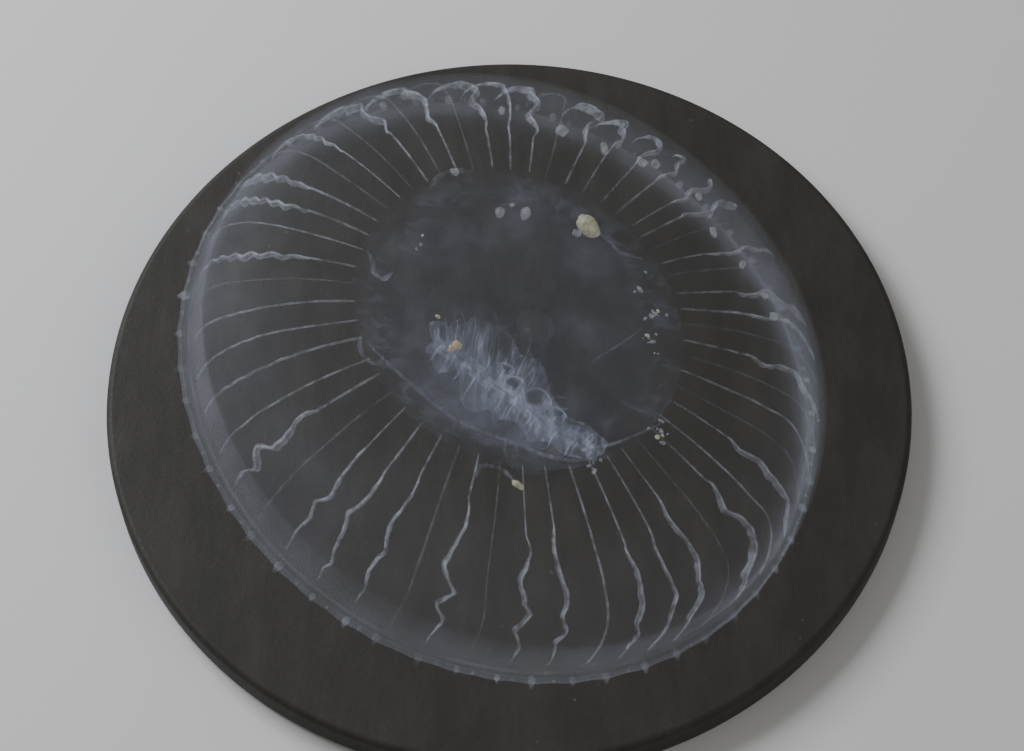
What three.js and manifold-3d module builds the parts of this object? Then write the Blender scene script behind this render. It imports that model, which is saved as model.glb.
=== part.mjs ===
// A many-ribbed crystal jelly (genus Aequorea), life size, on a plain display stand.
// Millimetres, +Z up. The origin is the centre of the stand base's underside.
// The bell is turned in its own group: its axis is that group's Z, its margin lies near z = 0.

import * as THREE from 'three';
import { mergeVertices } from 'three/addons/utils/BufferGeometryUtils.js';
import Module from 'manifold-3d';

const wasm = await Module();
wasm.setup();

const { cos, sin, PI } = Math;
const degrees = THREE.MathUtils.degToRad;

// Driving dimensions of the bell
const bellRadius = 50;                    // to the middle of the wall at the margin
const wallAtMargin = 1.4;
const roofHeight = 17.5;                  // underside of the jelly, above the margin
const roofPower = 3.1;                    // how square the shoulder is, seen from below
const crownHeight = 22;                   // top of the jelly, above the margin
const crownPower = 2.6;
const crownDiscRadius = 22.4;             // the clear lens over the stomach
const gap = 0.3;                          // between pieces that meet
const aroundBell = 54;                    // facets round the bell, one for each canal

// Pose and place
const lean = degrees(17);                 // the axis leans towards +X
const bellCentre = new THREE.Vector3(0, -12, 32);

// Radial canals, in order round the bell: S has a full gonad, m a half grown one, t none
const canalKinds = 'mStSSmmSStmtSmtStttStStSmStSStStmSmtStttttStSStmtStStS';
const firstCanal = degrees(94.6);
const canalStep = 2 * PI / aroundBell;
const canalShape = {
  S: { stations: 6, halfWidth: 0.75, depth: 2.2, wave: 0.95 },
  m: { stations: 4, halfWidth: 0.6, depth: 1.4, wave: 0.6 },
  t: { stations: 2, halfWidth: 0.5, depth: 0.8, wave: 0.0 },
};
const canalEdge = 0.4;                    // least half width and depth, where a canal is bare
const canalRoot = 0.9;                    // sets how far a canal is let into the jelly
const canalSides = 3;                     // one edge hangs down, two are in the jelly

// The side of the bell and its rim are parted into a few lengths, always between two canals
const sideCount = 6;
const rimCount = 9;

// Rim: ring canal, velum shelf and one tentacle bulb to each canal
const velumWidth = 4.6;
const velumThickness = 0.6;
const rimTop = -0.35;
const rimDepth = 1.9;
const bulb = { root: 0.9, tip: 0.45, length: 2.3, sides: 3, droop: degrees(38) };

// Stomach and mouth
const stomachRadius = 25.2;
const stomachShift = -3;                  // its middle lies off the bell's axis, on X
const aroundStomach = 32;
const canalClear = 2.6;                   // a canal starts this far outside the stomach
const stomachEdge = 1.1;
const stomachSag = 2.2;
const mouth = { x: -1, y: -11, turn: degrees(-33), length: 28, folds: 3, spacing: 3, waves: 4.5 };
const lip = { thickness: 1.05, depth: 4.6, endDepth: 1.4, ruffle: 1.4, steps: 15 };

// Stand
const baseRadius = 66;
const baseThickness = 6;
const baseChamfer = 1.2;
const rodRadius = 2;
const footRadius = 5;
const footThickness = 1.2;
const padRadius = 3;
const padThickness = 1;
const aroundBase = 45;

const paint = (color, roughness, metalness = 0) =>
  new THREE.MeshStandardMaterial({ color, roughness, metalness });
const jellyPaint = () => paint(0xb9c3cf, 0.25);
const stomachPaint = () => paint(0x8c98a8, 0.35);
const lipPaint = () => paint(0xdfe9f5, 0.45);
const slatePaint = () => paint(0x34332f, 0.7);
const rodPaint = () => paint(0xdde3e6, 0.1);

// Merges a geometry to one closed mesh whose faces point out
function closed(source) {
  const bare = source.index ? source.toNonIndexed() : source.clone();
  bare.deleteAttribute('normal');
  bare.deleteAttribute('uv');
  const merged = mergeVertices(bare, 1e-4);
  const place = merged.attributes.position;
  const corners = [new THREE.Vector3(), new THREE.Vector3(), new THREE.Vector3()];
  const kept = [];
  let volume = 0;
  for (let i = 0; i < merged.index.count; i += 3) {
    const face = [0, 1, 2].map((k) => merged.index.getX(i + k));
    if (new Set(face).size < 3) continue;
    face.forEach((vertex, k) => corners[k].fromBufferAttribute(place, vertex));
    volume += corners[0].dot(corners[1].clone().cross(corners[2]));
    kept.push(face);
  }
  if (volume < 0) kept.forEach((face) => face.reverse());
  merged.setIndex(kept.flat());
  return merged;
}

function toSolid(geometry) {
  const ready = closed(geometry);
  return new wasm.Manifold(new wasm.Mesh({
    numProp: 3,
    vertProperties: new Float32Array(ready.attributes.position.array),
    triVerts: new Uint32Array(ready.index.array),
  }));
}

function fromSolid(solid) {
  const mesh = solid.getMesh();
  const geometry = new THREE.BufferGeometry();
  geometry.setAttribute('position', new THREE.BufferAttribute(mesh.vertProperties, 3));
  geometry.setIndex(new THREE.BufferAttribute(mesh.triVerts, 1));
  return geometry;
}

function piece(name, geometry, material) {
  geometry.computeVertexNormals();
  const mesh = new THREE.Mesh(geometry, material);
  mesh.name = name;
  return mesh;
}

// Turns a profile of (radius, height) points about Z
function turned(profile, around) {
  return new THREE.LatheGeometry(profile, around).rotateX(PI / 2);
}

// The same, with a canal over the middle of each facet
function turnedBell(profile) {
  return turned(profile, aroundBell).rotateZ(PI / 2 + firstCanal + canalStep / 2);
}

// The same value for the same canal every time, from 0 to 1
function vary(index, salt) {
  const wild = sin(index * 12.9898 + salt * 78.233) * 43758.5453;
  return wild - Math.floor(wild);
}

// The bell's two faces are super-ellipses; turn runs from 0 at the margin to PI / 2 on the axis
const dome = (radius, height, power) => ({
  at: (turn) => new THREE.Vector2(
    radius * cos(turn) ** (2 / power),
    height * sin(turn) ** (2 / power),
  ),
  turnAt: (reach) => Math.acos((reach / radius) ** (power / 2)),
  heightAt: (reach) => height * (1 - (reach / radius) ** power) ** (1 / power),
});
const roof = dome(bellRadius - wallAtMargin / 2, roofHeight, roofPower);
const crown = dome(bellRadius + wallAtMargin / 2, crownHeight, crownPower);

// Points along a dome from one turn to another, closer together towards the margin
function along(face, from, to, steps) {
  return Array.from({ length: steps + 1 }, (_, i) => face.at(from + (to - from) * i / steps));
}

// A wedge about the axis, short of its neighbours by half a gap on each side
function wedge(middle, halfAngle) {
  const reach = 120;
  const tall = 80;
  const tip = gap / 2 / sin(halfAngle);
  const corner = (angle) => [tip * cos(middle) + reach * cos(angle), tip * sin(middle) + reach * sin(angle)];
  const outline = new THREE.Shape();
  outline.moveTo(tip * cos(middle), tip * sin(middle));
  outline.lineTo(...corner(middle - halfAngle));
  outline.lineTo(...corner(middle + halfAngle));
  outline.closePath();
  const block = new THREE.ExtrudeGeometry(outline, { depth: tall, bevelEnabled: false });
  return toSolid(block.translate(0, 0, -tall / 2));
}

// Middles of the lengths that the bell is parted into, clear of the canals
function partings(count) {
  const share = 2 * PI / count;
  const start = firstCanal + canalStep / 2 - share / 2;
  return Array.from({ length: count }, (_, i) => start - i * share);
}

function crownDisc() {
  const under = [0, 0.55, 1].map((t) => new THREE.Vector2(
    crownDiscRadius * t,
    roof.heightAt(crownDiscRadius * t),
  ));
  const over = [1, 0.6, 0].map((t) => new THREE.Vector2(
    crownDiscRadius * t,
    crown.heightAt(crownDiscRadius * t),
  ));
  return closed(turnedBell([...under, ...over]));
}

function bellWall() {
  const start = crownDiscRadius + gap;
  const inner = along(roof, roof.turnAt(start), 0, 4);
  const outer = along(crown, 0, crown.turnAt(start), 6);
  return toSolid(turnedBell([...inner, ...outer, inner[0]]));
}

// One canal: a tube bent along the roof, which swells and waves where it carries a gonad
function canal(index) {
  const shape = canalShape[canalKinds[index]];
  const azimuth = firstCanal - index * canalStep;
  const from = roof.turnAt(stomachRadius + stomachShift * cos(azimuth) + canalClear);
  const to = 0.12 + 0.05 * vary(index, 1);
  const gonadStart = 0.16 + 0.14 * vary(index, 2);
  const size = 0.82 + 0.36 * vary(index, 3);
  const side = vary(index, 4) < 0.5 ? -1 : 1;
  const tube = new THREE.CylinderGeometry(1, 1, 1, canalSides, shape.stations);
  const place = tube.attributes.position;
  for (let i = 0; i < place.count; i += 1) {
    const t = place.getY(i) + 0.5;
    const turn = from + (to - from) * t;
    const here = roof.at(turn);
    const onward = roof.at(turn - 0.01);
    const slope = Math.atan2(onward.y - here.y, onward.x - here.x);
    const grown = Math.max(0, sin(PI * Math.min(1, Math.max(0, (t - gonadStart) / (1.02 - gonadStart)))));
    const full = grown ** 0.6 * size;
    const flip = Math.round(t * shape.stations) % 2 === 0 ? 1 : -1;
    const bend = side * flip * shape.wave * full;
    const across = place.getX(i) * (canalEdge + (shape.halfWidth - canalEdge) * full) + bend;
    const reach = place.getZ(i);
    const down = reach > 0 ? reach * (canalEdge + (shape.depth - canalEdge) * full) : reach * canalRoot;
    const radius = here.x + down * sin(slope);
    const height = here.y - down * cos(slope);
    place.setXYZ(
      i,
      radius * cos(azimuth) - across * sin(azimuth),
      radius * sin(azimuth) + across * cos(azimuth),
      height,
    );
  }
  return toSolid(tube);
}

function tentacleBulb(index) {
  const cone = new THREE.CylinderGeometry(bulb.tip, bulb.root, bulb.length, bulb.sides);
  cone.translate(0, bulb.length / 2, 0);
  cone.rotateZ(-PI / 2 - bulb.droop);
  cone.scale(0.8 + 0.3 * vary(index, 5), 1, 1);
  cone.translate(bellRadius + 0.1, 0, 0);
  cone.rotateX(PI / 2);
  cone.translate(0, 0, rimTop - rimDepth / 2);
  cone.rotateZ(firstCanal - index * canalStep);
  return toSolid(cone);
}

function rim() {
  const floor = rimTop - rimDepth;
  const shelf = rimTop - rimDepth * 0.35;
  const inside = bellRadius - 0.9;
  const profile = [
    [inside - velumWidth, shelf - 0.5],
    [inside, rimTop],
    [bellRadius + 0.9, rimTop],
    [bellRadius + 0.3, floor],
    [inside, shelf - velumThickness],
    [inside - velumWidth, shelf - 0.5 - velumThickness],
    [inside - velumWidth, shelf - 0.5],
  ].map(([radius, height]) => new THREE.Vector2(radius, height));
  let ring = toSolid(turnedBell(profile));
  for (let i = 0; i < aroundBell; i += 1) {
    ring = ring.add(tentacleBulb(i));
  }
  return ring;
}

// Heights of the stomach's two faces at a place under the roof
const stomachTop = (x, y) => roof.heightAt(Math.hypot(x, y)) - gap - 0.1;
const stomachFloor = (x, y) => {
  const reach = Math.min(stomachRadius, Math.hypot(x - stomachShift, y));
  return stomachTop(x, y) - stomachEdge - stomachSag * (1 - (reach / stomachRadius) ** 2);
};

function stomach() {
  const floor = [0, 0.4, 0.72, 1].map((t) => new THREE.Vector2(stomachRadius * t, 0));
  const top = [1, 0.6, 0].map((t) => new THREE.Vector2(stomachRadius * t, 1));
  const bag = turned([...floor, ...top], aroundStomach);
  const place = bag.attributes.position;
  for (let i = 0; i < place.count; i += 1) {
    const x = place.getX(i) + stomachShift;
    const y = place.getY(i);
    const isTop = place.getZ(i) > 0.5;
    place.setXYZ(i, x, y, isTop ? stomachTop(x, y) : stomachFloor(x, y));
  }
  return closed(bag);
}

// One frilled fold of the lips: a strip whose lower edge swings from side to side
function lipFold(number) {
  const offset = (number - (mouth.folds - 1) / 2) * mouth.spacing;
  const length = mouth.length * (1 - 0.14 * Math.abs(number - 1));
  const strip = new THREE.BoxGeometry(1, 1, 1, lip.steps, 1, 2);
  const place = strip.attributes.position;
  for (let i = 0; i < place.count; i += 1) {
    const s = place.getX(i);
    const hang = 0.5 - place.getZ(i);
    const x = s * length;
    const phase = 2 * PI * mouth.waves * x / mouth.length + number * 0.6;
    const swing = (0.35 + hang * (lip.ruffle - 0.35)) * sin(phase);
    const y = offset + swing + place.getY(i) * lip.thickness;
    const worldX = mouth.x + x * cos(mouth.turn) - y * sin(mouth.turn);
    const worldY = mouth.y + x * sin(mouth.turn) + y * cos(mouth.turn);
    const deep = lip.endDepth + (lip.depth - lip.endDepth) * cos(PI * s) ** 0.7;
    place.setXYZ(i, worldX, worldY, stomachFloor(worldX, worldY) - gap - 0.1 - hang * deep);
  }
  return closed(strip);
}

function standBase() {
  const profile = [
    [0, 0],
    [baseRadius - baseChamfer, 0],
    [baseRadius, baseChamfer],
    [baseRadius, baseThickness - baseChamfer],
    [baseRadius - baseChamfer, baseThickness],
    [0, baseThickness],
  ].map(([radius, height]) => new THREE.Vector2(radius, height));
  return closed(turned(profile, aroundBase));
}

// A rod with a round foot, and a small pad that lies against the stomach at the bell's lean
function standRod() {
  const padTop = stomachFloor(0, 0) - gap;
  const padMiddle = new THREE.Vector3(0, 0, padTop - padThickness / 2);
  padMiddle.applyAxisAngle(new THREE.Vector3(0, 1, 0), lean).add(bellCentre);
  const bottom = baseThickness + gap;
  const profile = [
    [0, bottom],
    [footRadius, bottom],
    [footRadius, bottom + footThickness * 0.5],
    [footRadius - 1, bottom + footThickness],
    [rodRadius, bottom + footThickness],
    [rodRadius, padMiddle.z],
    [0, padMiddle.z],
  ].map(([radius, height]) => new THREE.Vector2(radius, height));
  const rod = turned(profile, 16).translate(padMiddle.x, padMiddle.y, 0);
  const pad = new THREE.CylinderGeometry(padRadius, padRadius - 0.6, padThickness, 16);
  pad.rotateX(PI / 2).rotateY(lean);
  pad.translate(padMiddle.x, padMiddle.y, padMiddle.z);
  return fromSolid(toSolid(rod).add(toSolid(pad)));
}

const animal = new THREE.Group();
animal.position.copy(bellCentre);
animal.rotation.y = lean;
animal.add(piece('bell_crown', crownDisc(), jellyPaint()));

let ribbedWall = bellWall();
for (let i = 0; i < aroundBell; i += 1) {
  ribbedWall = ribbedWall.add(canal(i));
}
partings(sideCount).forEach((middle, i) => {
  const side = ribbedWall.intersect(wedge(middle, PI / sideCount));
  animal.add(piece(`bell_side_${i + 1}`, fromSolid(side), jellyPaint()));
});

const wholeRim = rim();
partings(rimCount).forEach((middle, i) => {
  const length = wholeRim.intersect(wedge(middle, PI / rimCount));
  animal.add(piece(`rim_${i + 1}`, fromSolid(length), jellyPaint()));
});

animal.add(piece('stomach', stomach(), stomachPaint()));
for (let i = 0; i < mouth.folds; i += 1) {
  animal.add(piece(`lip_fold_${i + 1}`, lipFold(i), lipPaint()));
}

const group = new THREE.Group();
group.add(piece('stand_base', standBase(), slatePaint()));
group.add(piece('stand_rod', standRod(), rodPaint()));
group.add(animal);

export default group;
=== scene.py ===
import math
import random

import bmesh
import bpy
from mathutils import Matrix, Vector, noise


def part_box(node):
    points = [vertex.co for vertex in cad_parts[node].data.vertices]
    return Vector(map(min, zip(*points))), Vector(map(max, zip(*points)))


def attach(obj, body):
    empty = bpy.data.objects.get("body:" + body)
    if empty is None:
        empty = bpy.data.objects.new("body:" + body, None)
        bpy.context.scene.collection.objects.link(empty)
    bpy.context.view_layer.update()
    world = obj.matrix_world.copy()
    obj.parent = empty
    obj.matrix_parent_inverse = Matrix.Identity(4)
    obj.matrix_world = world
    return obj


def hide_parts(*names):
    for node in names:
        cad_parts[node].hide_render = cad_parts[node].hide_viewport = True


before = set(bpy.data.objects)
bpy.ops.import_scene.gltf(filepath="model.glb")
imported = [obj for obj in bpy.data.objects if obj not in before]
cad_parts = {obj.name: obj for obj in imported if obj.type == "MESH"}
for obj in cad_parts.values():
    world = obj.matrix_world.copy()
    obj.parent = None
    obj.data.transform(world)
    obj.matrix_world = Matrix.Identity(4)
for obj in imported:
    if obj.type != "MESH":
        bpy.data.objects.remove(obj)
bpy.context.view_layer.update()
print("frame loaded:", len(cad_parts), "nodes")

mm = 0.001
tau = 2 * math.pi

# the bell in its own frame: axis along z, margin near z = 0, all in millimetres
bell = {
    "centre": (0, -12, 32), "lean": 17,
    "radius": 50, "wall": 1.4,
    "roofHeight": 17.5, "roofPower": 3.1,
    "crownHeight": 22, "crownPower": 2.6,
    "stomachRadius": 25.2, "stomachShift": -3, "firstCanal": 94.6,
    "kinds": "mStSSmmSStmtSmtStbtSbStSmSbSStStmSmtSbbbbtSbSStmtStStS",
    "drift": (0, 0.15, -0.5, -0.85, -0.8, -0.15, 0.25, 0.45, 0.35, 0),
}
canalCount = len(bell["kinds"])
bellPlace = (
    Matrix.Translation(Vector(bell["centre"]) * mm)
    @ Matrix.Rotation(math.radians(bell["lean"]), 4, "Y")
    @ Matrix.Scale(mm, 4)
)
standPlace = Matrix.Scale(mm, 4)


class Wire:
    def __init__(self, paint, socket):
        self.paint = paint
        self.socket = socket

    def maths(self, operation, *values):
        return self.paint.node("ShaderNodeMath", {"operation": operation}, dict(enumerate(values)))

    def __add__(self, other):
        return self.maths("ADD", self, other)

    def __radd__(self, other):
        return self.maths("ADD", other, self)

    def __sub__(self, other):
        return self.maths("SUBTRACT", self, other)

    def __rsub__(self, other):
        return self.maths("SUBTRACT", other, self)

    def __mul__(self, other):
        return self.maths("MULTIPLY", self, other)

    def __rmul__(self, other):
        return self.maths("MULTIPLY", other, self)

    def between(self, low, high, start=0.0, end=1.0):  # eased from start to end
        return self.paint.node(
            "ShaderNodeMapRange", {"interpolation_type": "SMOOTHSTEP"},
            {"Value": self, "From Min": low, "From Max": high, "To Min": start, "To Max": end})


class Paint:
    def __init__(self, name):
        self.material = bpy.data.materials.new(name)
        self.material.use_nodes = True
        self.tree = self.material.node_tree
        self.tree.nodes.clear()

    def node(self, kind, settings=(), inputs=(), output=0):
        made = self.tree.nodes.new(kind)
        for key, value in dict(settings).items():
            setattr(made, key, value)
        for key, value in dict(inputs).items():
            if isinstance(value, Wire):
                self.tree.links.new(value.socket, made.inputs[key])
            else:
                made.inputs[key].default_value = value
        return None if output is None else Wire(self, made.outputs[output])

    def moved(self, at, centre, turn=(0, 0, 0), size=1):
        return self.node("ShaderNodeMapping", {"vector_type": "TEXTURE"}, {
            "Vector": at, "Location": centre, "Rotation": turn, "Scale": (size, size, size)})

    def place(self, centre=(0, 0, 0), turn=(0, 0, 0)):  # object coordinates, in millimetres
        return self.moved(self.node("ShaderNodeTexCoord", output="Object"), centre, turn, mm)

    def onBell(self):
        return self.place([part * mm for part in bell["centre"]], (0, math.radians(bell["lean"]), 0))

    def facing(self, power):  # 0 where the surface is seen square on, 1 where it is seen along
        weight = self.node("ShaderNodeLayerWeight", (), {"Blend": 0.5}, output="Facing")
        return weight.maths("POWER", weight, power)

    def split(self, at):
        return [self.node("ShaderNodeSeparateXYZ", (), {0: at}, output=axis) for axis in range(3)]

    def reach(self, at):  # distance from the axis
        flat = self.node("ShaderNodeVectorMath", {"operation": "MULTIPLY"}, {0: at, 1: (1, 1, 0)})
        return self.node("ShaderNodeVectorMath", {"operation": "LENGTH"}, {0: flat}, output="Value")

    def noise(self, at, scale, detail=3.0, roughness=0.55, warp=0.0):
        return self.node("ShaderNodeTexNoise", (), {
            "Vector": at, "Scale": scale, "Detail": detail, "Roughness": roughness, "Distortion": warp})

    def stretch(self, at, factors):
        return self.node("ShaderNodeVectorMath", {"operation": "MULTIPLY"}, {0: at, 1: factors})

    def kept(self, name):  # a value kept on the points of the mesh
        return self.node("ShaderNodeAttribute", {"attribute_name": name}, output="Fac")

    def blend(self, low, high, amount):  # between two tones, or from a link to a tone
        low, high = ((*tone, 1) if isinstance(tone, tuple) else tone for tone in (low, high))
        return self.node("ShaderNodeMix", {"data_type": "RGBA"}, {0: amount, 6: low, 7: high}, output=2)

    def bump(self, height, strength, distance):
        return self.node("ShaderNodeBump", (), {
            "Height": height, "Strength": strength, "Distance": distance})

    def finish(self, sockets):
        surface = self.node("ShaderNodeBsdfPrincipled", (), sockets)
        self.node("ShaderNodeOutputMaterial", (), {"Surface": surface}, output=None)
        return self.material


faces = {
    "roof": (bell["radius"] - bell["wall"] / 2, bell["roofHeight"], bell["roofPower"]),
    "crown": (bell["radius"] + bell["wall"] / 2, bell["crownHeight"], bell["crownPower"]),
}


def onFace(face, turn):  # radius and height on the bell's roof or crown; turn 0 is the margin
    radius, height, power = faces[face]
    return radius * max(0, math.cos(turn)) ** (2 / power), height * math.sin(turn) ** (2 / power)


def roofTurn(reach):
    radius, _, power = faces["roof"]
    return math.acos((reach / radius) ** (power / 2))


def roofHeight(x, y):
    radius, height, power = faces["roof"]
    return height * max(0, 1 - (math.hypot(x, y) / radius) ** power) ** (1 / power)


def vary(index, salt):  # the same value for the same number every time, from 0 to 1
    wild = math.sin(index * 12.9898 + salt * 78.233) * 43758.5453
    return wild - math.floor(wild)


def mixed(low, high, share):
    return low + (high - low) * share


def eased(value):
    value = min(1, max(0, value))
    return value * value * (3 - 2 * value)


def spread(values, t):  # an eased reading of evenly spaced values
    place = min(0.9999, max(0, t)) * (len(values) - 1)
    low = int(place)
    return mixed(values[low], values[low + 1], eased(place - low))


def addPiece(name, mesh, place, material, replaced=(), flatCaps=False, shadow=True):
    bmesh.ops.remove_doubles(mesh, verts=mesh.verts, dist=0.002)
    bmesh.ops.recalc_face_normals(mesh, faces=mesh.faces)
    bmesh.ops.transform(mesh, matrix=place, verts=mesh.verts)
    for face in mesh.faces:
        face.smooth = not (flatCaps and len(face.verts) > 4)
    data = bpy.data.meshes.new(name)
    mesh.to_mesh(data)
    mesh.free()
    data.materials.append(material)
    piece = bpy.data.objects.new(name, data)
    piece.visible_shadow = shadow
    bpy.context.scene.collection.objects.link(piece)
    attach(piece, "root")
    if replaced:
        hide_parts(*replaced)
    print(name, "made:", len(data.polygons), "faces")
    return piece


def spun(mesh, profile, steps):  # a profile of (radius, height) points turned round z
    points = [mesh.verts.new((radius, 0, height)) for radius, height in profile]
    edges = [mesh.edges.new(pair) for pair in zip(points, points[1:])]
    bmesh.ops.spin(
        mesh, geom=points + edges, cent=(0, 0, 0), axis=(0, 0, 1), dvec=(0, 0, 0),
        angle=tau, steps=steps, use_merge=True, use_duplicate=False)


def shapedGrid(mesh, across, along, shape):  # a grid whose points are moved to shape(u, t)
    made = bmesh.ops.create_grid(mesh, x_segments=across, y_segments=along, size=0.5)
    for point in made["verts"]:
        point.co = shape(point.co.x + 0.5, point.co.y + 0.5)
    return made["verts"]


def tube(mesh, around, along, centreAt, thickAt):  # round tube along a line of points
    def shape(u, t):
        here = centreAt(t)
        ahead = (centreAt(min(1, t + 0.01)) - centreAt(max(0, t - 0.01))).normalized()
        side = ahead.cross(Vector((0, 0, 1))).normalized()
        rise = side.cross(ahead)
        half = thickAt(t)
        return here + side * half * math.cos(tau * u) + rise * half * math.sin(tau * u)
    shapedGrid(mesh, around, along, shape)


def roundEnds(t, ends=0.08):  # swells from nothing at both ends
    return math.sqrt(max(0, min(1, t / ends, (1 - t) / ends)))


def throughPoints(points):  # a smooth line through a few given points
    spots = [Vector(point) for point in points]
    spots = [2 * spots[0] - spots[1], *spots, 2 * spots[-1] - spots[-2]]
    count = len(spots) - 3

    def at(t):
        i = min(count - 1, int(t * count))
        f = t * count - i
        a, b, c, d = spots[i:i + 4]
        return 0.5 * (2 * b + (c - a) * f + (2 * a - 5 * b + 4 * c - d) * f * f
                      + (3 * b - a - 3 * c + d) * f * f * f)
    return at


# the clear jelly of the bell: crown, side, rim and velum in one skin
skin = {
    "rounds": 216, "crownSteps": 44, "roofSteps": 40, "inset": 0.06,
    "rimTop": -0.35, "rimDepth": 1.9, "beadHalf": 0.7875, "velumWidth": 4.6,
    "wobble": 0.35, "scallop": 0.10,
    "clear": (0.50, 0.55, 0.62), "milk": (0.62, 0.65, 0.82),
    "thinAlpha": 0.014, "hazeAlpha": 0.038, "rimAlpha": 0.016, "edgeAlpha": 0.02,
    "hazeFrom": 0.6, "rimFrom": 9, "outline": 0.12, "velumShare": 0.3,
}


def jellyPaint():
    paint = Paint("bellJelly")
    at = paint.onBell()
    reach = paint.reach(at)
    height = paint.split(at)[2]
    outer = paint.kept("outer")
    clouds = paint.noise(at, 0.11, 2, 0.6)
    haze = reach.between(bell["radius"] * skin["hazeFrom"], bell["radius"] * 1.02) * skin["hazeAlpha"]
    rim = height.between(skin["rimFrom"], -1) * skin["rimAlpha"]
    facing = paint.facing(1)
    side = facing.between(0.3, 0.75) * skin["edgeAlpha"]
    soft = facing.between(1, 0.45, skin["outline"], 1)
    alpha = (haze + rim + side + skin["thinAlpha"]) * outer
    return paint.finish({
        "Base Color": paint.blend(skin["clear"], skin["milk"], haze * 12 + clouds * 0.4),
        "Roughness": 0.22 + clouds * 0.12,
        "Alpha": alpha * soft * (0.2 + clouds * 1.6),
        "IOR": 1.34,
    })


def skinProfile():
    outer = bell["radius"]
    top, deep = skin["rimTop"], skin["rimDepth"]
    crown = [onFace("crown", mixed(math.pi / 2, 0, i / skin["crownSteps"]))
             for i in range(skin["crownSteps"] + 1)]
    crown = [(radius - skin["inset"] * radius / outer, height - skin["inset"]) for radius, height in crown]
    bead = [(outer + skin["beadHalf"] * math.cos(a), top - deep / 2 + deep / 2 * math.sin(a))
            for a in [math.radians(70 - 20 * step) for step in range(9)]]
    shelf = top - deep * 0.35
    velum = [  # in along the underside to the thin edge, and back out along the top
        (outer - 1.2, shelf - 0.75), (outer - 2.6, shelf - 0.78), (outer - 4.4, shelf - 0.95),
        (outer - 0.9 - skin["velumWidth"], shelf - 1.0), (outer - 0.95 - skin["velumWidth"], shelf - 0.8),
        (outer - 4.4, shelf - 0.55), (outer - 2.6, shelf - 0.35), (outer - 1.5, shelf - 0.1),
        (outer - 1.0, shelf + 0.5),
    ]
    roof = [onFace("roof", mixed(0, math.pi / 2, i / skin["roofSteps"]))
            for i in range(1, skin["roofSteps"] + 1)]
    return crown + bead + velum + roof


def makeBellSkin():
    mesh = bmesh.new()
    spun(mesh, skinProfile(), skin["rounds"])
    outer = mesh.verts.layers.float.new("outer")
    for point in mesh.verts:
        x, y, z = point.co
        reach = math.hypot(x, y)
        onVelum = z < skin["rimTop"] and reach < bell["radius"] - bell["wall"]
        onOutside = z > roofHeight(x, y) + 0.3 or reach > bell["radius"] - bell["wall"]
        inwards = eased((bell["radius"] - 1 - reach) / skin["velumWidth"])
        point[outer] = skin["velumShare"] * (1 - inwards) if onVelum else float(onOutside)
        if reach > 1:
            azimuth = math.atan2(y, x)
            edge = eased((reach - 30) / 20)
            slow = noise.noise(Vector((1.3 * math.cos(azimuth), 1.3 * math.sin(azimuth), 2.5)))
            scallop = skin["scallop"] * math.cos(canalCount * (azimuth - math.radians(bell["firstCanal"])))
            shift = edge * (skin["wobble"] * slow + scallop * eased((2 - z) / 3))
            point.co.x += shift * x / reach
            point.co.y += shift * y / reach
    nodes = [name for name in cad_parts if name.startswith(("bell_", "rim_"))]
    addPiece("bell_skin", mesh, bellPlace, jellyPaint(), nodes, shadow=False)


makeBellSkin()


# radial canals and the folded gonads that hang from them
canal = {
    "half": 0.15, "clearance": 0.12, "along": 120, "around": 8,
    "wave": {"S": 1.1, "m": 0.6, "b": 0.15, "t": 0.08},
    "depth": {"S": 1.3, "m": 0.8},
    "fold": {"S": 0.44, "m": 0.30},
    "gonadFrom": 0.16, "gonadTo": 0.93, "gonadEnds": (0.14, 0.985), "gonadAround": 10,
    "ripples": 2.7, "fineAt": 165, "finer": 2.4, "wander": 0.6,
    "sweep": 6, "sweepFrom": 35, "sweepReach": 130,
    "endTurn": 0.015, "endRise": 0.28, "highAt": 12,
    "alpha": 0.11, "faintAlpha": 0.035, "gonadAlpha": 0.10,
    "milk": (0.70, 0.74, 0.84), "deepMilk": (0.50, 0.54, 0.63),
}


def canalAzimuth(index):  # the canals are spaced a little unevenly round the bell
    steps = index + spread(bell["drift"], index / canalCount)
    return math.radians(bell["firstCanal"] - steps * 360 / canalCount)


def canalSweep(azimuth):  # how far a canal's outer end is drawn round the bell
    away = (math.degrees(azimuth) - canal["sweepFrom"] + 180) % 360 - 180
    share = eased(abs(away) / 30) * eased((canal["sweepReach"] - abs(away)) / 45)
    return math.radians(math.copysign(canal["sweep"] * share, away))


def canalFrame(index, t):  # a point on the roof, with the sideways and downward directions there
    azimuth = canalAzimuth(index)
    start = bell["stomachRadius"] + bell["stomachShift"] * math.cos(azimuth)
    farSide = eased((math.cos(azimuth - math.radians(canal["highAt"])) - 0.6) / 0.3)
    turn = mixed(roofTurn(start), canal["endTurn"] + canal["endRise"] * farSide, t)
    radius, height = onFace("roof", turn)
    nextRadius, nextHeight = onFace("roof", turn - 0.01)
    slope = math.atan2(nextHeight - height, nextRadius - radius)
    toStomach = -math.asin(bell["stomachShift"] * math.sin(azimuth) / radius) * (1 - t) ** 1.5
    wild = math.radians(1.1 * (vary(index, 7) - 0.5))
    azimuth += toStomach + wild + canalSweep(azimuth) * eased((t - 0.55) / 0.5)
    outward = Vector((math.cos(azimuth), math.sin(azimuth), 0))
    side = Vector((-outward.y, outward.x, 0))
    down = outward * math.sin(slope) - Vector((0, 0, 1)) * math.cos(slope)
    wander = noise.noise(Vector((t * 2.2, index * 3.1, 0.5))) * canal["wander"] * math.sin(math.pi * t)
    return outward * radius + Vector((0, 0, height)) + side * wander, side, down


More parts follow.
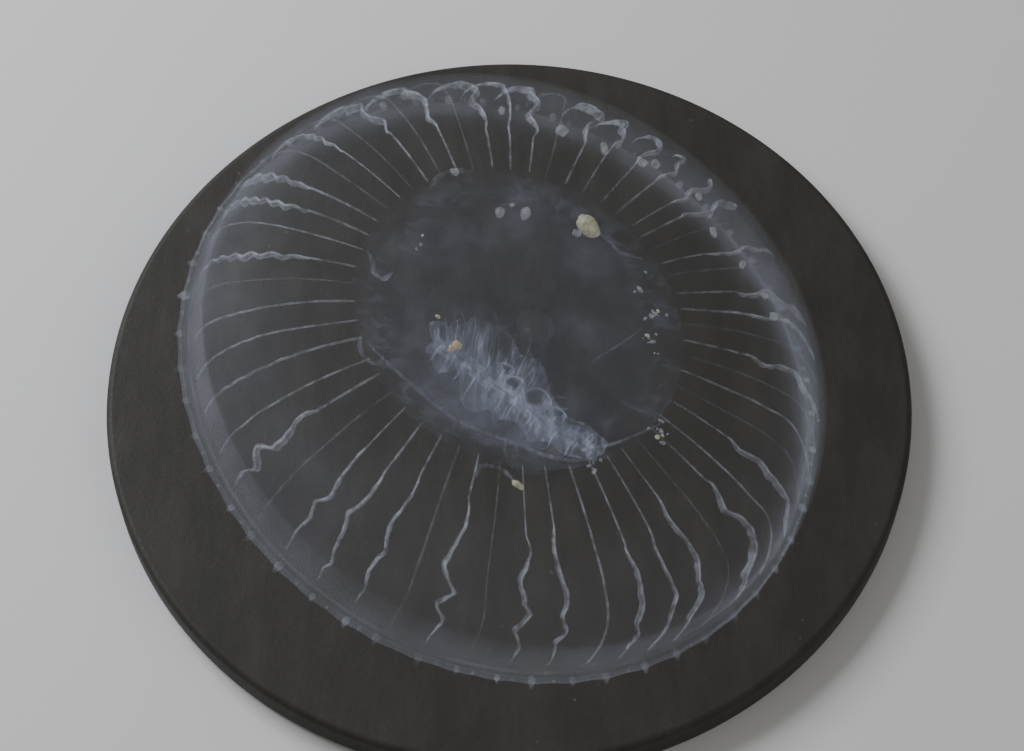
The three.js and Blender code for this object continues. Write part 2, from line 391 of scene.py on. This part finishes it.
def gonadGrowth(index, t):  # 0 where the canal is bare, 1 where the gonad is fullest
    start = canal["gonadFrom"] + 0.16 * vary(index, 2)
    stop = canal["gonadTo"] + 0.05 * vary(index, 6)
    share = min(1, max(0, (t - start) / (stop - start)))
    return math.sin(math.pi * share ** 0.8) ** 0.55


def canalWave(index, t):  # uneven kinks, largest where the gonad is full, small and close on the left
    fine = eased((math.cos(canalAzimuth(index) - math.radians(canal["fineAt"])) - 0.7) / 0.25)
    size = canal["wave"][bell["kinds"][index]] * (0.6 + 0.8 * vary(index, 3)) * (1 - 0.6 * fine)
    ripples = canal["ripples"] * (0.75 + 0.6 * vary(index, 8)) * (1 + canal["finer"] * fine)
    drift = noise.noise(Vector((3.1 * t, index * 2.3, 8)))
    phase = tau * (ripples * t + vary(index, 9) + 0.45 * drift)
    kink = math.asin(0.9 * math.sin(phase)) / 1.12
    small = noise.noise(Vector((17 * t, index * 1.7, 3)))
    return size * (kink * (0.55 + 0.9 * abs(drift)) + 0.32 * small) * gonadGrowth(index, t)


def canalPaint(name, alpha):
    paint = Paint(name)
    at = paint.onBell()
    reach = paint.reach(at)
    patches = paint.noise(at, 0.55, 4, 0.7)
    grain = paint.noise(at, 3.0, 2, 0.7)
    grown = reach.between(bell["stomachRadius"], bell["radius"] * 0.7, 0.5, 1)
    soft = 1 - paint.facing(2.0) * 0.85
    return paint.finish({
        "Base Color": paint.blend(canal["deepMilk"], canal["milk"], patches + grain * 0.25),
        "Roughness": 0.4 + grain * 0.2,
        "Alpha": grown * (0.2 + patches.between(0.3, 0.7) * 1.5) * soft * alpha,
        "IOR": 1.36,
        "Normal": paint.bump(grain, 0.3, 0.0003),
    })


def makeCanals(name, kinds, alpha):  # the canals whose letter is in kinds
    mesh = bmesh.new()
    for index in range(canalCount):
        if bell["kinds"][index] not in kinds:
            continue

        def centreAt(t):
            here, side, down = canalFrame(index, t)
            return here + side * canalWave(index, t) + down * canal["clearance"]
        half = canal["half"] * (0.8 + 0.6 * vary(index, 10))
        tube(mesh, canal["around"], canal["along"], centreAt, lambda t: half * roundEnds(t, 0.02))
    addPiece(name, mesh, bellPlace, canalPaint(name, alpha), shadow=False)


def makeGonads():
    mesh = bmesh.new()
    for index, kind in enumerate(bell["kinds"]):
        if kind not in canal["depth"]:
            continue
        depth = canal["depth"][kind] * (0.75 + 0.5 * vary(index, 3))
        fold = canal["fold"][kind] * (0.85 + 0.4 * vary(index, 4))

        def shape(u, t):
            place = mixed(*canal["gonadEnds"], t)
            growth = gonadGrowth(index, place) * roundEnds(t, 0.03)
            here, side, down = canalFrame(index, place)
            hang = 0.5 + 0.5 * math.sin(tau * u)
            frill = 0.3 * noise.noise(Vector((11 * place, index * 3.3, 6))) * hang * growth
            sideways = canalWave(index, place) * (0.95 + 0.25 * hang) + frill
            lumps = 1 + 0.35 * noise.noise(here * 0.9 + Vector((0, 0, index)))
            sideways += fold * lumps * growth * math.cos(tau * u)
            return here + side * sideways + down * (canal["clearance"] + depth * growth * lumps * hang)
        shapedGrid(mesh, canal["gonadAround"], canal["along"], shape)
    addPiece("gonads", mesh, bellPlace, canalPaint("gonadMilk", canal["gonadAlpha"]))


makeCanals("radial_canals", "Smb", canal["alpha"])  # S full gonad, m half-grown, b bare but clear
makeCanals("faint_canals", "t", canal["faintAlpha"])
makeGonads()


# ring canal, tentacle bulbs and short contracted tentacles round the margin
margin = {
    "ringHalf": 0.26, "ringReach": 49.4, "ringDrop": -0.75, "ringAlong": 432,
    "bulbReach": 50.55, "bulbDrop": -1.35, "bulbHalf": 0.58, "budShare": 0.42,
    "droop": 38, "stub": 1.0,
    "thinAlpha": 0.02, "patchAlpha": 0.07, "ringShare": 0.35, "bulbShare": 0.85,
    "milk": (0.70, 0.76, 0.84), "shade": (0.48, 0.54, 0.62),
}


def rimPaint(name, share):
    paint = Paint(name)
    at = paint.onBell()
    patches = paint.noise(at, 0.12, 4, 0.6)
    grain = paint.noise(at, 3.0, 2, 0.6)
    soft = 1 - paint.facing(2.0) * 0.8
    return paint.finish({
        "Base Color": paint.blend(margin["shade"], margin["milk"], patches.between(0.3, 0.7)),
        "Roughness": 0.34 + grain * 0.2,
        "Alpha": (margin["thinAlpha"] + patches.between(0.35, 0.7) * margin["patchAlpha"]) * soft * share,
        "IOR": 1.36,
        "Normal": paint.bump(grain, 0.25, 0.0002),
    })


def makeRingCanal(material):
    mesh = bmesh.new()

    def shape(u, t):
        azimuth = tau * t
        beat = 1 + 0.35 * noise.noise(Vector((9 * math.cos(azimuth), 9 * math.sin(azimuth), 0)))
        half = margin["ringHalf"] * beat
        reach = margin["ringReach"] + half * math.cos(tau * u)
        height = margin["ringDrop"] + half * math.sin(tau * u)
        return Vector((reach * math.cos(azimuth), reach * math.sin(azimuth), height))
    shapedGrid(mesh, 8, margin["ringAlong"], shape)
    addPiece("ring_canal", mesh, bellPlace, material, shadow=False)


def makeBulbs(material):
    mesh = bmesh.new()
    for index in range(2 * canalCount):  # a grown bulb at every canal and a bud between
        grown = index % 2 == 0
        size = (0.75 + 0.5 * vary(index, 11)) * (1 if grown else margin["budShare"])
        azimuth = math.radians(bell["firstCanal"] - index * 180 / canalCount) + 0.02 * (vary(index, 12) - 0.5)
        turn = Matrix.Rotation(azimuth, 4, "Z") @ Matrix.Translation(
            (margin["bulbReach"], 0, margin["bulbDrop"]))
        half = margin["bulbHalf"] * size
        ball = Matrix.Diagonal((half * 1.25, half, half * 1.1, 1))
        bmesh.ops.create_icosphere(mesh, subdivisions=2, radius=1, matrix=turn @ ball)
        if grown:
            length = margin["stub"] * size
            lay = Matrix.Rotation(math.radians(90 + margin["droop"]), 4, "Y")
            out = Matrix.Translation((0, 0, length / 2))
            bmesh.ops.create_cone(
                mesh, cap_ends=True, segments=10, radius1=half * 0.85, radius2=half * 0.4,
                depth=length, matrix=turn @ lay @ out)
    addPiece("tentacle_bulbs", mesh, bellPlace, material)


makeRingCanal(rimPaint("ringMilk", margin["ringShare"]))
makeBulbs(rimPaint("rimMilk", margin["bulbShare"]))


# the stomach: a thin grey-blue bag spread under the crown lens
stomach = {
    "edge": 1.0, "sag": 2.1, "gap": 0.4, "rounds": 216, "steps": 34, "folds": 0.55, "frill": 0.14,
    "film": (0.10, 0.12, 0.18), "haze": (0.34, 0.37, 0.50),
    "alpha": 0.10, "hazeAlpha": 0.06, "collarAlpha": 0.07,
    "veilAt": (-8, -13.5, 0), "veilTurn": -33, "veilSize": (1 / 19, 1 / 9.5, 1), "veilAlpha": 0.09,
}


def stomachTop(x, y):
    return roofHeight(x, y) - stomach["gap"]


def stomachFloor(x, y):
    share = min(1, math.hypot(x - bell["stomachShift"], y) / bell["stomachRadius"])
    return stomachTop(x, y) - stomach["edge"] - stomach["sag"] * (1 - share ** 2)


def stomachPaint():
    paint = Paint("stomachFilm")
    at = paint.onBell()
    alongLips = paint.moved(at, stomach["veilAt"], (0, 0, math.radians(stomach["veilTurn"])))
    veil = paint.reach(paint.stretch(alongLips, stomach["veilSize"])).between(1, 0.2)
    clouds = paint.noise(at, 0.09, 2, 0.6)
    wisps = paint.noise(paint.stretch(at, (0.6, 1.0, 1.0)), 0.3, 3, 0.65, 1.0)
    haze = clouds.between(0.4, 0.72)
    reach = paint.reach(paint.moved(at, (bell["stomachShift"], 0, 0)))
    radius = bell["stomachRadius"]
    inside = reach.between(radius, radius * 0.78, 0.3, 1)
    collar = reach.between(radius * 0.72, radius * 0.92) * wisps.between(0.45, 0.65)
    pale = haze * 0.6 + wisps * 0.2 + collar * 0.6 + veil * 0.8
    alpha = stomach["alpha"] + haze * stomach["hazeAlpha"] + collar * stomach["collarAlpha"]
    alpha = alpha + veil * stomach["veilAlpha"]
    return paint.finish({
        "Base Color": paint.blend(stomach["film"], stomach["haze"], pale),
        "Roughness": 0.3 + wisps * 0.2,
        "Alpha": alpha * (0.5 + wisps) * inside * paint.kept("floor"),
        "IOR": 1.34,
    })


def makeStomach():
    mesh = bmesh.new()
    radius, steps = bell["stomachRadius"], stomach["steps"]
    reaches = [radius * i / steps for i in range(steps + 1)]
    floorLine = [(reach, 0) for reach in reaches]
    topLine = [(reach, 1) for reach in reversed(reaches)]
    spun(mesh, floorLine + [(radius + 0.3, 0.5)] + topLine, stomach["rounds"])
    floorShare = mesh.verts.layers.float.new("floor")
    for point in mesh.verts:
        x, y, face = point.co
        point[floorShare] = 1 - face
        reach = math.hypot(x, y)
        fromFirst = math.atan2(y, x) - math.radians(bell["firstCanal"])
        frill = stomach["frill"] * math.cos(canalCount * fromFirst)
        grow = 1 + frill * eased(reach - radius + 1) / max(1, reach)
        x, y = x * grow + bell["stomachShift"], y * grow
        folds = noise.noise(Vector((x * 0.22, y * 0.22, 1)))
        folds += 0.3 * noise.noise(Vector((x * 0.8, y * 0.8, 3)))
        floor = stomachFloor(x, y) + stomach["folds"] * folds * eased((radius - reach) / 3)
        point.co = (x, y, mixed(floor, stomachTop(x, y), face))
    addPiece("stomach_film", mesh, bellPlace, stomachPaint(), ["stomach"], shadow=False)


makeStomach()


# the mouth: lips gathered along one ridge, feathered on both sides, with a few curled rings
mouth = {
    "ridge": ((-15.6, -4.8), (-11.3, -7.1), (-6.7, -10.4), (-2.1, -13.1), (2.7, -16.9), (9.2, -20.8)),
    "above": (2.6, 5.6, 9.6, 11.6, 10.0, 5.2, 3.8, 2.6),
    "below": (3.2, 5.2, 5.8, 5.6, 6.0, 5.6, 4.0, 1.8),
    "rings": ((-0.1, -12.1, 1.75), (-3.4, -10.0, 1.3), (-4.4, -7.6, 0.8), (3.4, -14.2, 0.9)),
    "drop": 1.1, "thick": 0.14, "across": 48, "along": 220, "folds": 3, "feathers": 60, "featherHalf": 0.16,
    "milk": (0.68, 0.73, 0.88), "shade": (0.42, 0.48, 0.64),
    "thinAlpha": 0.035, "streakAlpha": 0.12, "tipShare": 0.4, "underShare": 0.6,
}


def underStomach(spot, drop):
    return Vector((spot.x, spot.y, stomachFloor(spot.x, spot.y) - drop))


ridgeAt = throughPoints([(*point, 0) for point in mouth["ridge"]])


def featherWay(side, t):  # which way the lip runs off the ridge
    if side > 0:
        return Vector((mixed(-0.12, 0.85, t), 1, 0)).normalized()
    return Vector((-0.45, -0.9, 0)).normalized()


def lipPaint():
    paint = Paint("lipFrill")
    at = paint.onBell()
    streaks = paint.noise(paint.stretch(at, (1.9, 0.55, 1.0)), 0.42, 4, 0.62, 0.5)
    grain = paint.noise(at, 3.0, 2, 0.6)
    bright = streaks.between(0.36, 0.72)
    offRidge = paint.split(paint.moved(at, stomach["veilAt"], (0, 0, math.radians(stomach["veilTurn"]))))[1]
    dense = offRidge.between(4, 11, 1, mouth["tipShare"]) * offRidge.between(1, -3, 1, mouth["underShare"])
    for x, y, size in mouth["rings"]:
        dense = dense * paint.reach(paint.moved(at, (x, y, 0))).between(size * 0.6, size * 0.95, 0.12, 1)
    soft = 1 - paint.facing(2.0) * 0.7
    return paint.finish({
        "Base Color": paint.blend(mouth["shade"], mouth["milk"], bright),
        "Roughness": 0.4 + grain * 0.2,
        "Alpha": (mouth["thinAlpha"] + bright * mouth["streakAlpha"]) * dense * soft,
        "IOR": 1.36,
        "Normal": paint.bump(streaks * 0.8 + grain * 0.2, 0.4, 0.0005),
    })


def makeLipSheet(mesh, side, widths, salt):  # a ruffled sheet with two faces, off one side of the ridge
    def shape(u, t):
        out = 1 - abs(2 * u - 1)
        face = 1 if u < 0.5 else -1
        ruffle = noise.noise(Vector((t * 6, out * 1.3, salt)))
        crimp = noise.noise(Vector((t * 14, out * 1.8, salt + 5)))
        width = spread(widths, t) * (0.9 + 0.5 * noise.noise(Vector((t * 7, salt, 2))))
        start = ridgeAt(t)
        spot = start + featherWay(side, t) * width * out
        spot += Vector((1.6 * ruffle + 0.6 * crimp, 0.4 * crimp, 0)) * out
        hang = 0.5 + math.sin(math.pi * min(1, 0.3 + 0.7 * out))
        drop = mouth["drop"] * hang + out * (1.5 * ruffle + 0.8 * crimp)
        return underStomach(spot, max(0.25, drop) - face * mouth["thick"] * math.sin(math.pi * out) ** 0.5)
    shapedGrid(mesh, mouth["across"], mouth["along"], shape)


def makeLips(material):
    mesh = bmesh.new()
    makeLipSheet(mesh, 1, mouth["above"], 1.7)
    makeLipSheet(mesh, -1, mouth["below"], 6.2)
    for number in range(mouth["folds"]):  # the thick gathered folds of the ridge

        def shape(u, t, number=number):
            full = roundEnds(t, 0.1)
            hang = 0.5 + 0.5 * math.sin(tau * u)
            sway = noise.noise(Vector((t * 6, number * 3, hang)))
            small = noise.noise(Vector((t * 16, number * 3, hang * 1.5)))
            aside = (number - 1) * 0.75 + 1.1 * sway + 0.7 * small * hang + 0.18 * math.cos(tau * u)
            spot = ridgeAt(t) + Vector((0.54, 0.84, 0)) * aside * (0.3 + 0.7 * full)
            return underStomach(spot, 0.5 + 2.6 * hang * full * (0.7 + 0.6 * small))
        shapedGrid(mesh, 12, 200, shape)
    addPiece("mouth_lips", mesh, bellPlace, material, ["lip_fold_1", "lip_fold_2", "lip_fold_3"])


def makeFeathers(material):
    mesh = bmesh.new()
    for number in range(mouth["feathers"]):
        side = 1 if number % 5 < 3 else -1
        t = (number + 0.8 * vary(number, 40)) / mouth["feathers"]
        widths = mouth["above"] if side > 0 else mouth["below"]
        run = spread(widths, t) * (0.55 + 0.6 * vary(number, 41))
        way = featherWay(side, t)
        bend = Vector((-way.y, way.x, 0)) * (vary(number, 42) - 0.5) * 0.9 * run
        start = ridgeAt(t)
        stops = [
            start, start + way * run * 0.4 + bend * 0.3,
            start + way * run * 0.75 + bend * 0.2, start + way * run + bend,
        ]
        drops = [mixed(0.7, 0.25 + 1.4 * vary(number, 43), i / 3) for i in range(4)]
        centreAt = throughPoints([underStomach(spot, drop) for spot, drop in zip(stops, drops)])
        half = mouth["featherHalf"] * (0.7 + 0.8 * vary(number, 44))
        tube(mesh, 6, 26, centreAt, lambda t: half * roundEnds(t, 0.15) * (1.25 - 0.8 * t))
    addPiece("lip_feathers", mesh, bellPlace, material, shadow=False)


def makeLipRings(material):
    mesh = bmesh.new()
    for number, (x, y, size) in enumerate(mouth["rings"]):
        floor = stomachFloor(x, y) - 0.9
        for rank in range(3):
            def shape(u, t, rank=rank):
                azimuth = tau * t
                loose = 1 + 0.10 * math.sin(2 * azimuth + number + rank) + 0.05 * math.sin(5 * azimuth + rank)
                half = (0.22 - 0.05 * rank) * (1 + 0.35 * math.sin(3 * azimuth + number))
                reach = (size * 1.04 + 0.3 * rank) * loose + half * math.cos(tau * u)
                height = floor - 0.4 * rank + 0.25 * math.sin(2 * azimuth + number) + half * math.sin(tau * u)
                return Vector((x + reach * math.cos(azimuth), y + reach * math.sin(azimuth) * 0.82, height))
            shapedGrid(mesh, 8, 72, shape)
    addPiece("lip_rings", mesh, bellPlace, material, shadow=False)


lipMilk = lipPaint()
makeLips(lipMilk)
makeFeathers(lipMilk)
makeLipRings(lipMilk)


# thin folds and strands on the stomach, as (x, y, depth under the roof) with a half width
strands = {
    "lipLine": {"half": 0.3, "points": (
        (-26.2, -7.6, 1.8), (-22.9, -10.4, 2.4), (-16.8, -14.7, 3.4), (-13, -17.1, 3.8), (-8.5, -18.8, 4),
        (-4, -19.8, 4), (1.3, -21.4, 3.6), (5.9, -21.8, 3.2), (9.4, -20.6, 3))},
    "sideLine": {"half": 0.18, "points": ((8, -6, 4.4), (9.9, -3.5, 4.2), (13.2, -0.9, 3.6), (16.8, 2.3, 3))},
    "arch": {"half": 0.32, "points": (
        (-9.4, -27.6, 1.2), (-9.1, -25.9, 1.6), (-7.4, -25.2, 1.8), (-5.2, -25.8, 1.8), (-3.2, -27.9, 1.4))},
    "upperArc": {"half": 0.42, "points": (
        (-17.2, 20.2, 1.8), (-15.6, 23, 1.8), (-13.1, 24.6, 1.8), (-10.2, 24.8, 1.6))},
    "leftCurl": {"half": 0.38, "points": (
        (-26.4, 7.6, 1.4), (-25.4, 5.8, 2), (-25.2, 4.4, 2.4), (-23.6, 3.4, 2.2), (-22.4, 4.6, 1.8))},
    "lowCurl": {"half": 0.36, "points": (
        (-27, -7.2, 1.2), (-26.9, -9.2, 1.6), (-25.6, -10.8, 2), (-24, -11, 2), (-23.4, -9.8, 1.8))},
    "tuftTail": {"half": 0.24, "points": (
        (7, -19.6, 3.4), (11.7, -18.2, 3), (16, -15.8, 2.6), (20, -13.5, 2))},
    "ballTail": {"half": 0.3, "points": (
        (6.2, 16, 3), (7.6, 18, 2.8), (10.6, 17.4, 2.6), (13, 14.8, 2.2), (16.6, 13.8, 1.6))},
}


def underRoof(x, y, depth):
    return Vector((x, y, roofHeight(x, y) - depth))


def makeStrands(material):
    mesh = bmesh.new()
    for line in strands.values():
        centreAt = throughPoints([underRoof(*point) for point in line["points"]])
        half = line["half"]
        tube(mesh, 8, 90, centreAt, lambda t: half * roundEnds(t, 0.25) * (1 + 0.2 * math.sin(9 * t)))
    addPiece("stomach_strands", mesh, bellPlace, material, shadow=False)


makeStrands(lipMilk)


# small bodies lodged in the tissue, and one painted highlight; a single one is (x, y, depth under the roof,
# half size, warmth 0 to 1)
specks = {
    "single": (
        (8.0, 18.8, 2.6, 1.9, 0.75), (6.4, 17.0, 2.6, 0.7, 0.3), (-6.0, 18.3, 2.4, 0.85, 0.1),
        (-1.9, 19.1, 2.4, 1.0, 0.1), (-4.2, 19.8, 2, 0.45, 0.1), (-3.2, -27.7, 1.6, 0.75, 0.8),
        # the small warm speck at (-15.2, -1.3) is a painted highlight: a bright body put where a glint shows
        (-15.2, -1.3, 3.2, 0.35, 0.9), (-12.3, -5.5, 3.6, 0.75, 1.0), (-13.0, -6.2, 3.6, 0.5, 1.0),
        (4.4, 36.5, 1.4, 0.9, 0.0), (11.4, 34.5, 1.4, 0.85, 0.0), (17.9, 33.6, 1.4, 0.8, 0.0),
        (-5.1, 39.0, 1.4, 0.7, 0.0), (29.2, 22.6, 1.5, 0.8, 0.0), (39.0, 9.4, 1.5, 0.75, 0.3),
        (37.8, 12.9, 1.5, 0.6, 0.0), (20.4, 34.1, 1.5, 0.7, 0.0), (-13.1, 24.5, 1.9, 0.7, 0.25),
        (27.5, 29.4, 1.5, 0.6, 0.0), (34.0, 17.5, 1.5, 0.6, 0.0),
    ),
    "clusters": (  # (x, y, depth, how many)
        (18.5, 5.3, 2.4, 10), (18.3, 0, 2.6, 9), (17.9, -15.1, 2.2, 10),
        (8.4, -21.2, 3, 5), (16.6, 10.9, 2.6, 4), (-18.1, 10.7, 2.4, 3)),
    "clusterReach": (0.2, 2.4), "grainHalf": (0.14, 0.42), "warmShare": 0.12,
    "pale": (0.66, 0.70, 0.72), "warm": (0.70, 0.70, 0.48), "amber": (0.74, 0.58, 0.30),
    "warmFrom": 0.5, "amberFrom": 0.95, "paleAlpha": 0.20, "warmAlpha": 0.56, "amberAlpha": 0.6,
}


def speckPaint(name, tone, alpha):
    paint = Paint(name)
    at = paint.onBell()
    mottle = paint.noise(at, 1.6, 4, 0.65)
    dark = tuple(part * 0.72 for part in tone)
    return paint.finish({
        "Base Color": paint.blend(dark, tone, mottle.between(0.3, 0.65)),
        "Roughness": 0.3 + mottle * 0.25,
        "Alpha": alpha * (0.6 + mottle * 0.6) * (1 - paint.facing(2.0) * 0.7),
        "Normal": paint.bump(mottle, 0.5, 0.0004),
    })


def addSpeck(mesh, spot, half, salt):
    turn = Matrix.Rotation(tau * vary(salt, 31), 4, "Z") @ Matrix.Rotation(vary(salt, 32), 4, "X")
    length = half * (0.9 + 0.4 * vary(salt, 33))
    width = half * (0.75 + 0.3 * vary(salt, 34))
    grow = Matrix.Diagonal((length, width, half * 0.7, 1))
    made = bmesh.ops.create_icosphere(
        mesh, subdivisions=3 if half > 0.6 else 2, radius=1, matrix=Matrix.Translation(spot) @ turn @ grow)
    for point in made["verts"]:
        point.co += (point.co - spot) * 0.5 * noise.noise(point.co * 0.9 / max(half, 0.5))


def makeSpecks():
    pale = bmesh.new()
    warm = bmesh.new()
    amber = bmesh.new()
    for salt, (x, y, depth, half, warmth) in enumerate(specks["single"]):
        target = amber if warmth > specks["amberFrom"] else warm if warmth > specks["warmFrom"] else pale
        addSpeck(target, underRoof(x, y, depth), half, salt)
    shuffle = random.Random(5)
    for number, (x, y, depth, many) in enumerate(specks["clusters"]):
        for grain in range(many):
            around = shuffle.uniform(0, tau)
            far = shuffle.uniform(*specks["clusterReach"])
            lower = depth + shuffle.uniform(0, 0.8)
            spot = underRoof(x + far * math.cos(around), y + far * math.sin(around), lower)
            target = warm if shuffle.random() < specks["warmShare"] else pale
            addSpeck(target, spot, shuffle.uniform(*specks["grainHalf"]), 100 + number * 20 + grain)
    palePaint = speckPaint("paleSpeck", specks["pale"], specks["paleAlpha"])
    warmPaint = speckPaint("warmSpeckAndGlint", specks["warm"], specks["warmAlpha"])
    amberPaint = speckPaint("amberSpeck", specks["amber"], specks["amberAlpha"])
    addPiece("pale_specks", pale, bellPlace, palePaint)
    addPiece("warm_specks_and_glint", warm, bellPlace, warmPaint)
    addPiece("amber_specks", amber, bellPlace, amberPaint)


makeSpecks()


# the stand: a honed slate disc and a clear rod with a foot and a pad
stand = {
    "rounds": 200, "edge": 1.1, "edgeSteps": 4, "rodHalf": 2.0, "footHalf": 5.0, "footDepth": 1.2,
    "padHalf": 3.0, "padDepth": 1.0, "padGap": 0.3, "fillet": 1.2, "rodAlpha": 0.06,
    "slate": (0.019, 0.0175, 0.0145), "slatePale": (0.038, 0.035, 0.029), "scratch": (0.10, 0.098, 0.09),
    "rodTone": (0.10, 0.11, 0.12), "rodFilm": (0.20, 0.21, 0.22),
}


def slatePaint():
    paint = Paint("honedSlate")
    at = paint.place()
    broad = paint.noise(at, 0.018, 3, 0.6)
    layered = paint.noise(paint.stretch(at, (1.0, 0.35, 1.0)), 0.16, 4, 0.62)
    grain = paint.noise(at, 1.8, 2, 0.7)
    flecks = paint.node("ShaderNodeTexVoronoi", {"feature": "F1"}, {"Vector": at, "Scale": 0.22})
    fleck = flecks.between(0.075, 0.03) * broad.between(0.45, 0.62)
    layers = broad * 0.6 + layered.between(0.35, 0.75) * 0.6
    marks = fleck * 0.6 + grain.between(0.62, 0.8) * 0.25
    tone = paint.blend(stand["slate"], stand["slatePale"], layers)
    return paint.finish({
        "Base Color": paint.blend(tone, stand["scratch"], marks),
        "Roughness": 0.5 + grain * 0.25,
        "Specular IOR Level": 0.3,
        "Normal": paint.bump(layered * 0.7 + grain * 0.3, 0.25, 0.0006),
    })


def makeBase():
    low, high = (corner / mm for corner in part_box("stand_base"))
    radius, depth = (high.x - low.x) / 2, high.z - low.z
    mesh = bmesh.new()
    bmesh.ops.create_cone(
        mesh, cap_ends=True, segments=stand["rounds"], radius1=radius, radius2=radius, depth=depth,
        matrix=Matrix.Translation(((low.x + high.x) / 2, (low.y + high.y) / 2, (low.z + high.z) / 2)))
    rims = [edge for edge in mesh.edges if abs(edge.verts[0].co.z - edge.verts[1].co.z) < 0.01]
    bmesh.ops.bevel(
        mesh, geom=rims, affect="EDGES", offset=stand["edge"], segments=stand["edgeSteps"],
        profile=0.5, material=-1)
    addPiece("slate_base", mesh, standPlace, slatePaint(), ["stand_base"], flatCaps=True)


def rodPaint():
    paint = Paint("clearAcrylic")
    at = paint.place()
    film = paint.noise(at, 0.5, 2, 0.6)
    return paint.finish({
        "Base Color": paint.blend(stand["rodTone"], stand["rodFilm"], film),
        "Roughness": 0.12 + film * 0.15,
        "Alpha": stand["rodAlpha"],
        "IOR": 1.49,
        "Normal": paint.bump(film, 0.05, 0.0002),
    })


def makeRod():
    low, high = (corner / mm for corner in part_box("stand_rod"))
    middle = Vector(((low.x + high.x) / 2, (low.y + high.y) / 2, 0))
    half, foot, depth, fillet = stand["rodHalf"], stand["footHalf"], stand["footDepth"], stand["fillet"]
    padHeight = stomachFloor(0, 0) - stand["padGap"] - stand["padDepth"] / 2
    pad = bellPlace @ Vector((0, 0, padHeight)) / mm
    mesh = bmesh.new()
    base = low.z
    profile = [(0, base), (foot - 0.25, base), (foot, base + 0.25), (foot, base + depth * 0.55)]
    profile += [(mixed(foot - 0.4, half + fillet, i / 4), base + depth * mixed(0.85, 1.0, i / 4))
                for i in range(5)]
    profile += [(half + fillet * (1 - math.sin(a)), base + depth + fillet * (1 - math.cos(a)))
                for a in [math.radians(15 * step) for step in range(1, 7)]]
    profile += [(half, mixed(base + depth + fillet, pad.z - 0.6, i / 6)) for i in range(1, 7)]
    profile += [(0, pad.z - 0.6)]
    spun(mesh, profile, 64)
    bmesh.ops.translate(mesh, vec=middle, verts=mesh.verts)
    lean = Matrix.Rotation(math.radians(bell["lean"]), 4, "Y")
    made = bmesh.ops.create_cone(
        mesh, cap_ends=True, segments=64, radius1=stand["padHalf"] - 0.6, radius2=stand["padHalf"],
        depth=stand["padDepth"], matrix=Matrix.Translation(pad) @ lean)
    padRims = [e for e in mesh.edges if all(v in made["verts"] for v in e.verts) and len(e.link_faces) == 2
               and any(len(f.verts) > 4 for f in e.link_faces)]
    bmesh.ops.bevel(mesh, geom=padRims, affect="EDGES", offset=0.2, segments=3, profile=0.5, material=-1)
    addPiece("clear_rod", mesh, standPlace, rodPaint(), ["stand_rod"], flatCaps=True)


makeBase()
makeRod()


# floor, lights and camera
studio = {
    "floor": (0.70, 0.695, 0.68), "air": (0.92, 0.93, 0.95), "airStrength": 0.22,
    "key": {"at": (-0.42, 0.30, 0.44), "size": 0.35, "power": 4.9, "tone": (0.92, 0.94, 1.0)},
    "fill": {"at": (0.55, -0.45, 0.55), "size": 0.7, "power": 1.5, "tone": (1.0, 0.97, 0.90)},
    "azimuth": 0, "elevation": 60.1, "distance": 0.4, "lens": 91.9,
    "aim": (0.00046, -0.00084), "nearest": 0.01, "floorHalf": 2.5, "floorDrop": 0.0001,
}


def makeFloor():
    paint = Paint("paleFloor")
    at = paint.place()
    soft = paint.noise(at, 0.02, 3, 0.5)
    shade = tuple(part * 0.96 for part in studio["floor"])
    material = paint.finish({
        "Base Color": paint.blend(shade, studio["floor"], soft),
        "Roughness": 0.6 + soft * 0.1,
    })
    mesh = bmesh.new()
    bmesh.ops.create_grid(mesh, x_segments=1, y_segments=1, size=studio["floorHalf"])
    data = bpy.data.meshes.new("floor")
    mesh.to_mesh(data)
    mesh.free()
    data.materials.append(material)
    floorPiece = bpy.data.objects.new("floor", data)
    floorPiece.location.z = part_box("stand_base")[0].z - studio["floorDrop"]
    bpy.context.scene.collection.objects.link(floorPiece)


def makeLights():
    world = bpy.data.worlds.new("studioAir")
    world.use_nodes = True
    air = world.node_tree.nodes["Background"]
    air.inputs["Color"].default_value = (*studio["air"], 1)
    air.inputs["Strength"].default_value = studio["airStrength"]
    bpy.context.scene.world = world
    target = Vector(bell["centre"]) * mm
    for name in ("key", "fill"):
        lamp = studio[name]
        data = bpy.data.lights.new(name, "AREA")
        data.size = lamp["size"]
        data.energy = lamp["power"]
        data.color = lamp["tone"]
        light = bpy.data.objects.new(name, data)
        light.location = lamp["at"]
        light.rotation_euler = (target - light.location).to_track_quat("-Z", "Y").to_euler()
        bpy.context.scene.collection.objects.link(light)


def makeCamera():
    data = bpy.data.cameras.new("camera")
    data.lens = studio["lens"]
    data.sensor_width = 36
    data.clip_start = studio["nearest"]
    camera = bpy.data.objects.new("camera", data)
    rise = math.radians(studio["elevation"])
    turn = math.radians(studio["azimuth"])
    back = Vector((math.sin(turn) * math.cos(rise), -math.cos(turn) * math.cos(rise), math.sin(rise)))
    right = Vector((math.cos(turn), math.sin(turn), 0))
    lift = back.cross(right)
    aimX, aimY = studio["aim"]
    target = Vector(bell["centre"]) * mm + right * aimX + lift * aimY
    camera.location = target + back * studio["distance"]
    camera.rotation_euler = (-back).to_track_quat("-Z", "Y").to_euler()
    bpy.context.scene.collection.objects.link(camera)
    bpy.context.scene.camera = camera


makeFloor()
makeLights()
makeCamera()
bpy.context.scene.cycles.transparent_max_bounces = 32
bpy.context.scene.cycles.max_bounces = 4
print("floor, lights and camera placed")
